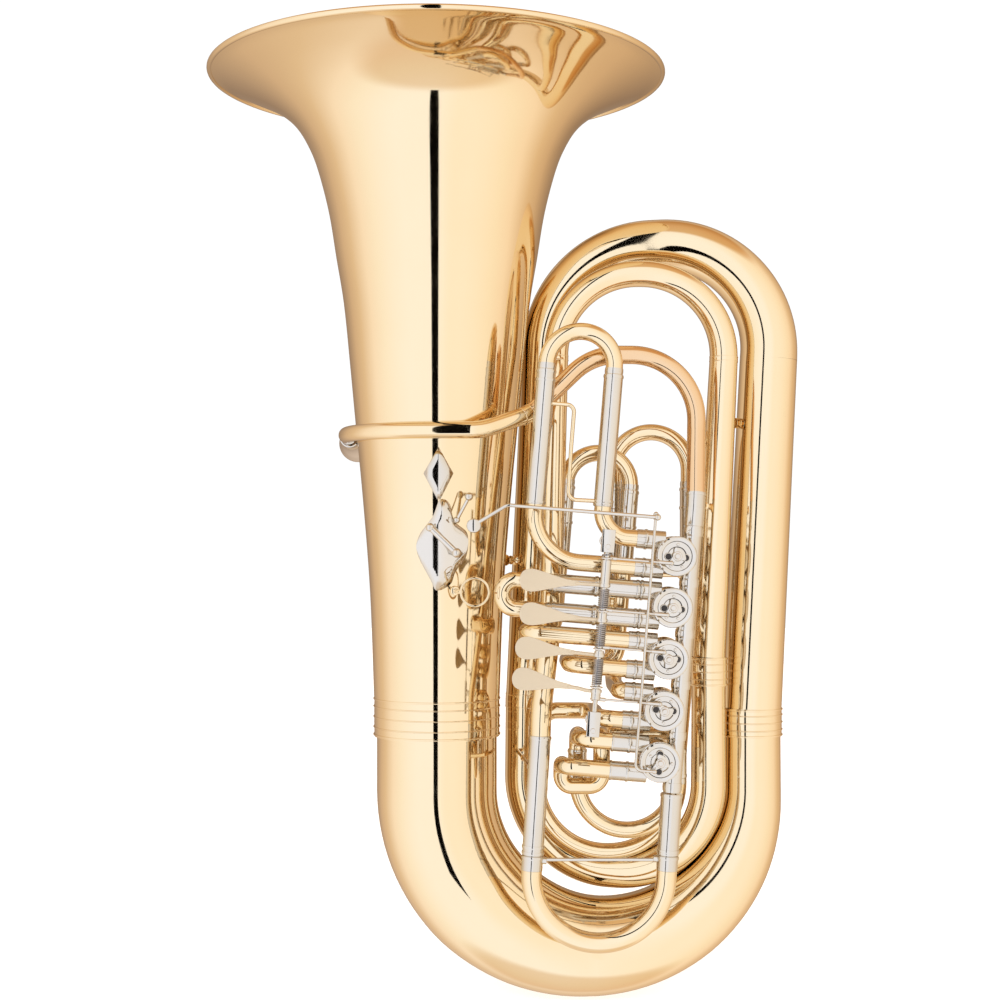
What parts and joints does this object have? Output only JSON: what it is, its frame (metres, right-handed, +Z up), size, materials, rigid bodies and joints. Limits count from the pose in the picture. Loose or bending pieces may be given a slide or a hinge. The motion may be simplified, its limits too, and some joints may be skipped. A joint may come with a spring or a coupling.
{
  "type": "tuba",
  "caption": "Upright rotary-valve tuba in lacquered brass, with finger levers, a thumb trigger, tuning slides, leadpipe and a wide upward bell.",
  "frame": {"origin": "lowest point of the big bottom bow, below the middle of its two legs", "axes": "+Z up along the bell, +Y towards the player, -Y towards the valves and levers, +X from the bell to the outer branch"},
  "size_m": [0.5813, 0.45, 0.9104],
  "materials": {
    "brass_lacquer": "polished, clear gold lacquer",
    "rose_brass": "polished rose brass, clear lacquer",
    "nickel_silver": "polished nickel silver",
    "lever_nickel": "satin nickel silver, slightly warm",
    "silver_plate": "silver plate"
  },
  "bodies": {
    "tuba_body": {"bell": "brass_lacquer", "bell_ferrule": "brass_lacquer", "bottom_bow": "brass_lacquer", "bottom_bow_ferrule": "brass_lacquer", "outer_branch": "brass_lacquer", "outer_top_bow": "brass_lacquer", "back_branch": "brass_lacquer", "inner_bottom_bow": "brass_lacquer", "inner_ferrule": "brass_lacquer", "inner_branch": "brass_lacquer", "inner_top_bow": "brass_lacquer", "front_branch": "brass_lacquer", "leadpipe": "rose_brass", "mouthpiece_receiver": "nickel_silver", "main_sleeve_left": "nickel_silver", "main_sleeve_right": "nickel_silver", "lever_axle": "nickel_silver", "lever_post_top": "nickel_silver", "lever_post_bottom": "nickel_silver", "bell_plate": "nickel_silver", "thumb_ring": "brass_lacquer", "branch_brace": "brass_lacquer", "bell_brace": "brass_lacquer", "valve_casing_1": "nickel_silver", "valve_cap_1": "nickel_silver", "valve_1_tubing": "brass_lacquer", "valve_casing_2": "nickel_silver", "valve_cap_2": "nickel_silver", "valve_2_tubing": "brass_lacquer", "valve_casing_3": "nickel_silver", "valve_cap_3": "nickel_silver", "valve_3_tubing": "brass_lacquer", "valve_casing_4": "nickel_silver", "valve_cap_4": "nickel_silver", "valve_4_tubing": "brass_lacquer", "valve_casing_5": "nickel_silver", "valve_cap_5": "nickel_silver", "valve_5_tubing": "brass_lacquer"},
    "lever_1": {"lever_1": "lever_nickel"},
    "link_rod_1": {"link_rod_1": "nickel_silver"},
    "rotor_1": {"rotor_1": "nickel_silver"},
    "lever_2": {"lever_2": "lever_nickel"},
    "link_rod_2": {"link_rod_2": "nickel_silver"},
    "rotor_2": {"rotor_2": "nickel_silver"},
    "lever_3": {"lever_3": "lever_nickel"},
    "link_rod_3": {"link_rod_3": "nickel_silver"},
    "rotor_3": {"rotor_3": "nickel_silver"},
    "lever_4": {"lever_4": "lever_nickel"},
    "link_rod_4": {"link_rod_4": "nickel_silver"},
    "rotor_4": {"rotor_4": "nickel_silver"},
    "thumb_lever": {"thumb_lever": "nickel_silver"},
    "thumb_link": {"thumb_link": "nickel_silver"},
    "rotor_5": {"rotor_5": "nickel_silver"},
    "valve_slide_1": {"valve_slide_1": "brass_lacquer"},
    "valve_slide_2": {"valve_slide_2": "brass_lacquer"},
    "valve_slide_3": {"valve_slide_3": "brass_lacquer"},
    "valve_slide_4": {"valve_slide_4": "brass_lacquer"},
    "valve_slide_5": {"valve_slide_5": "brass_lacquer"},
    "main_tuning_slide": {"main_tuning_slide": "brass_lacquer"},
    "mouthpiece": {"mouthpiece": "silver_plate"}
  },
  "joints": [
    {"name": "lever_1_press", "type": "hinge", "parent": "tuba_body", "child": "lever_1", "pos_m": [0.00108, -0.1363, 0.40894], "axis": [-0.0814, 0, -0.9967], "range_deg": [0, 24.2], "stiffness_Nm_per_rad": 0.3, "springref_deg": -17.19},
    {"name": "link_1_travel", "type": "slide", "parent": "tuba_body", "child": "link_rod_1", "axis": [0.9967, 0, -0.0814], "range_m": [0, 0.0108]},
    {"name": "rotor_1_turn", "type": "hinge", "parent": "tuba_body", "child": "rotor_1", "pos_m": [0.07043, -0.08, 0.43498], "axis": [0, 1, 0], "range_deg": [-91, 0]},
    {"name": "lever_2_press", "type": "hinge", "parent": "tuba_body", "child": "lever_2", "pos_m": [-0.0015, -0.1363, 0.37735], "axis": [-0.0814, 0, -0.9967], "range_deg": [0, 24.2], "stiffness_Nm_per_rad": 0.3, "springref_deg": -17.19},
    {"name": "link_2_travel", "type": "slide", "parent": "tuba_body", "child": "link_rod_2", "axis": [0.9967, 0, -0.0814], "range_m": [0, 0.0108]},
    {"name": "rotor_2_turn", "type": "hinge", "parent": "tuba_body", "child": "rotor_2", "pos_m": [0.06652, -0.08, 0.38704], "axis": [0, 1, 0], "range_deg": [-91, 0]},
    {"name": "lever_3_press", "type": "hinge", "parent": "tuba_body", "child": "lever_3", "pos_m": [-0.00409, -0.1363, 0.34565], "axis": [-0.0814, 0, -0.9967], "range_deg": [0, 24.2], "stiffness_Nm_per_rad": 0.3, "springref_deg": -17.19},
    {"name": "link_3_travel", "type": "slide", "parent": "tuba_body", "child": "link_rod_3", "axis": [0.9967, 0, -0.0814], "range_m": [0, 0.0108]},
    {"name": "rotor_3_turn", "type": "hinge", "parent": "tuba_body", "child": "rotor_3", "pos_m": [0.0626, -0.08, 0.3391], "axis": [0, 1, 0], "range_deg": [0, 91]},
    {"name": "lever_4_press", "type": "hinge", "parent": "tuba_body", "child": "lever_4", "pos_m": [-0.00677, -0.1363, 0.31276], "axis": [-0.0814, 0, -0.9967], "range_deg": [0, 24.2], "stiffness_Nm_per_rad": 0.3, "springref_deg": -17.19},
    {"name": "link_4_travel", "type": "slide", "parent": "tuba_body", "child": "link_rod_4", "axis": [0.9967, 0, -0.0814], "range_m": [0, 0.0108]},
    {"name": "rotor_4_turn", "type": "hinge", "parent": "tuba_body", "child": "rotor_4", "pos_m": [0.05868, -0.08, 0.29116], "axis": [0, 1, 0], "range_deg": [0, 91]},
    {"name": "thumb_lever_press", "type": "hinge", "parent": "tuba_body", "child": "thumb_lever", "pos_m": [-0.02648, -0.1402, 0.47681], "axis": [0.9967, 0, -0.0814], "range_deg": [0, 37.2], "stiffness_Nm_per_rad": 0.3, "springref_deg": -17.19},
    {"name": "thumb_link_travel", "type": "slide", "parent": "tuba_body", "child": "thumb_link", "axis": [0.0814, 0, 0.9967], "range_m": [0, 0.0127]},
    {"name": "rotor_5_turn", "type": "hinge", "parent": "tuba_body", "child": "rotor_5", "pos_m": [0.05477, -0.08, 0.24322], "axis": [0, 1, 0], "range_deg": [0, 91]},
    {"name": "valve_slide_1_pull", "type": "slide", "parent": "tuba_body", "child": "valve_slide_1", "axis": [0.0814, 0, 0.9967], "range_m": [0, 0.05]},
    {"name": "valve_slide_2_pull", "type": "slide", "parent": "tuba_body", "child": "valve_slide_2", "axis": [-0.9967, 0, 0.0814], "range_m": [0, 0.024]},
    {"name": "valve_slide_3_pull", "type": "slide", "parent": "tuba_body", "child": "valve_slide_3", "axis": [0.0814, 0, 0.9967], "range_m": [0, 0.04]},
    {"name": "valve_slide_4_pull", "type": "slide", "parent": "tuba_body", "child": "valve_slide_4", "axis": [0, 0, 1], "range_m": [0, 0.05]},
    {"name": "valve_slide_5_pull", "type": "slide", "parent": "tuba_body", "child": "valve_slide_5", "axis": [0, 0, -1], "range_m": [0, 0.02]},
    {"name": "main_slide_pull", "type": "slide", "parent": "tuba_body", "child": "main_tuning_slide", "axis": [-0.064, 0, -0.998], "range_m": [0, 0.03]},
    {"name": "mouthpiece_pull", "type": "slide", "parent": "tuba_body", "child": "mouthpiece", "axis": [0, 1, 0], "range_m": [0, 0.018]}
  ],
  "couplings": [
    {"joint": "lever_1_press", "follows": "link_1_travel", "rad_per_m": 38.79},
    {"joint": "rotor_1_turn", "follows": "link_1_travel", "rad_per_m": -145.46},
    {"joint": "lever_2_press", "follows": "link_2_travel", "rad_per_m": 38.79},
    {"joint": "rotor_2_turn", "follows": "link_2_travel", "rad_per_m": -145.46},
    {"joint": "lever_3_press", "follows": "link_3_travel", "rad_per_m": 38.79},
    {"joint": "rotor_3_turn", "follows": "link_3_travel", "rad_per_m": 145.46},
    {"joint": "lever_4_press", "follows": "link_4_travel", "rad_per_m": 38.79},
    {"joint": "rotor_4_turn", "follows": "link_4_travel", "rad_per_m": 145.46},
    {"joint": "thumb_lever_press", "follows": "thumb_link_travel", "rad_per_m": 50.76},
    {"joint": "rotor_5_turn", "follows": "thumb_link_travel", "rad_per_m": 123.47}
  ]
}
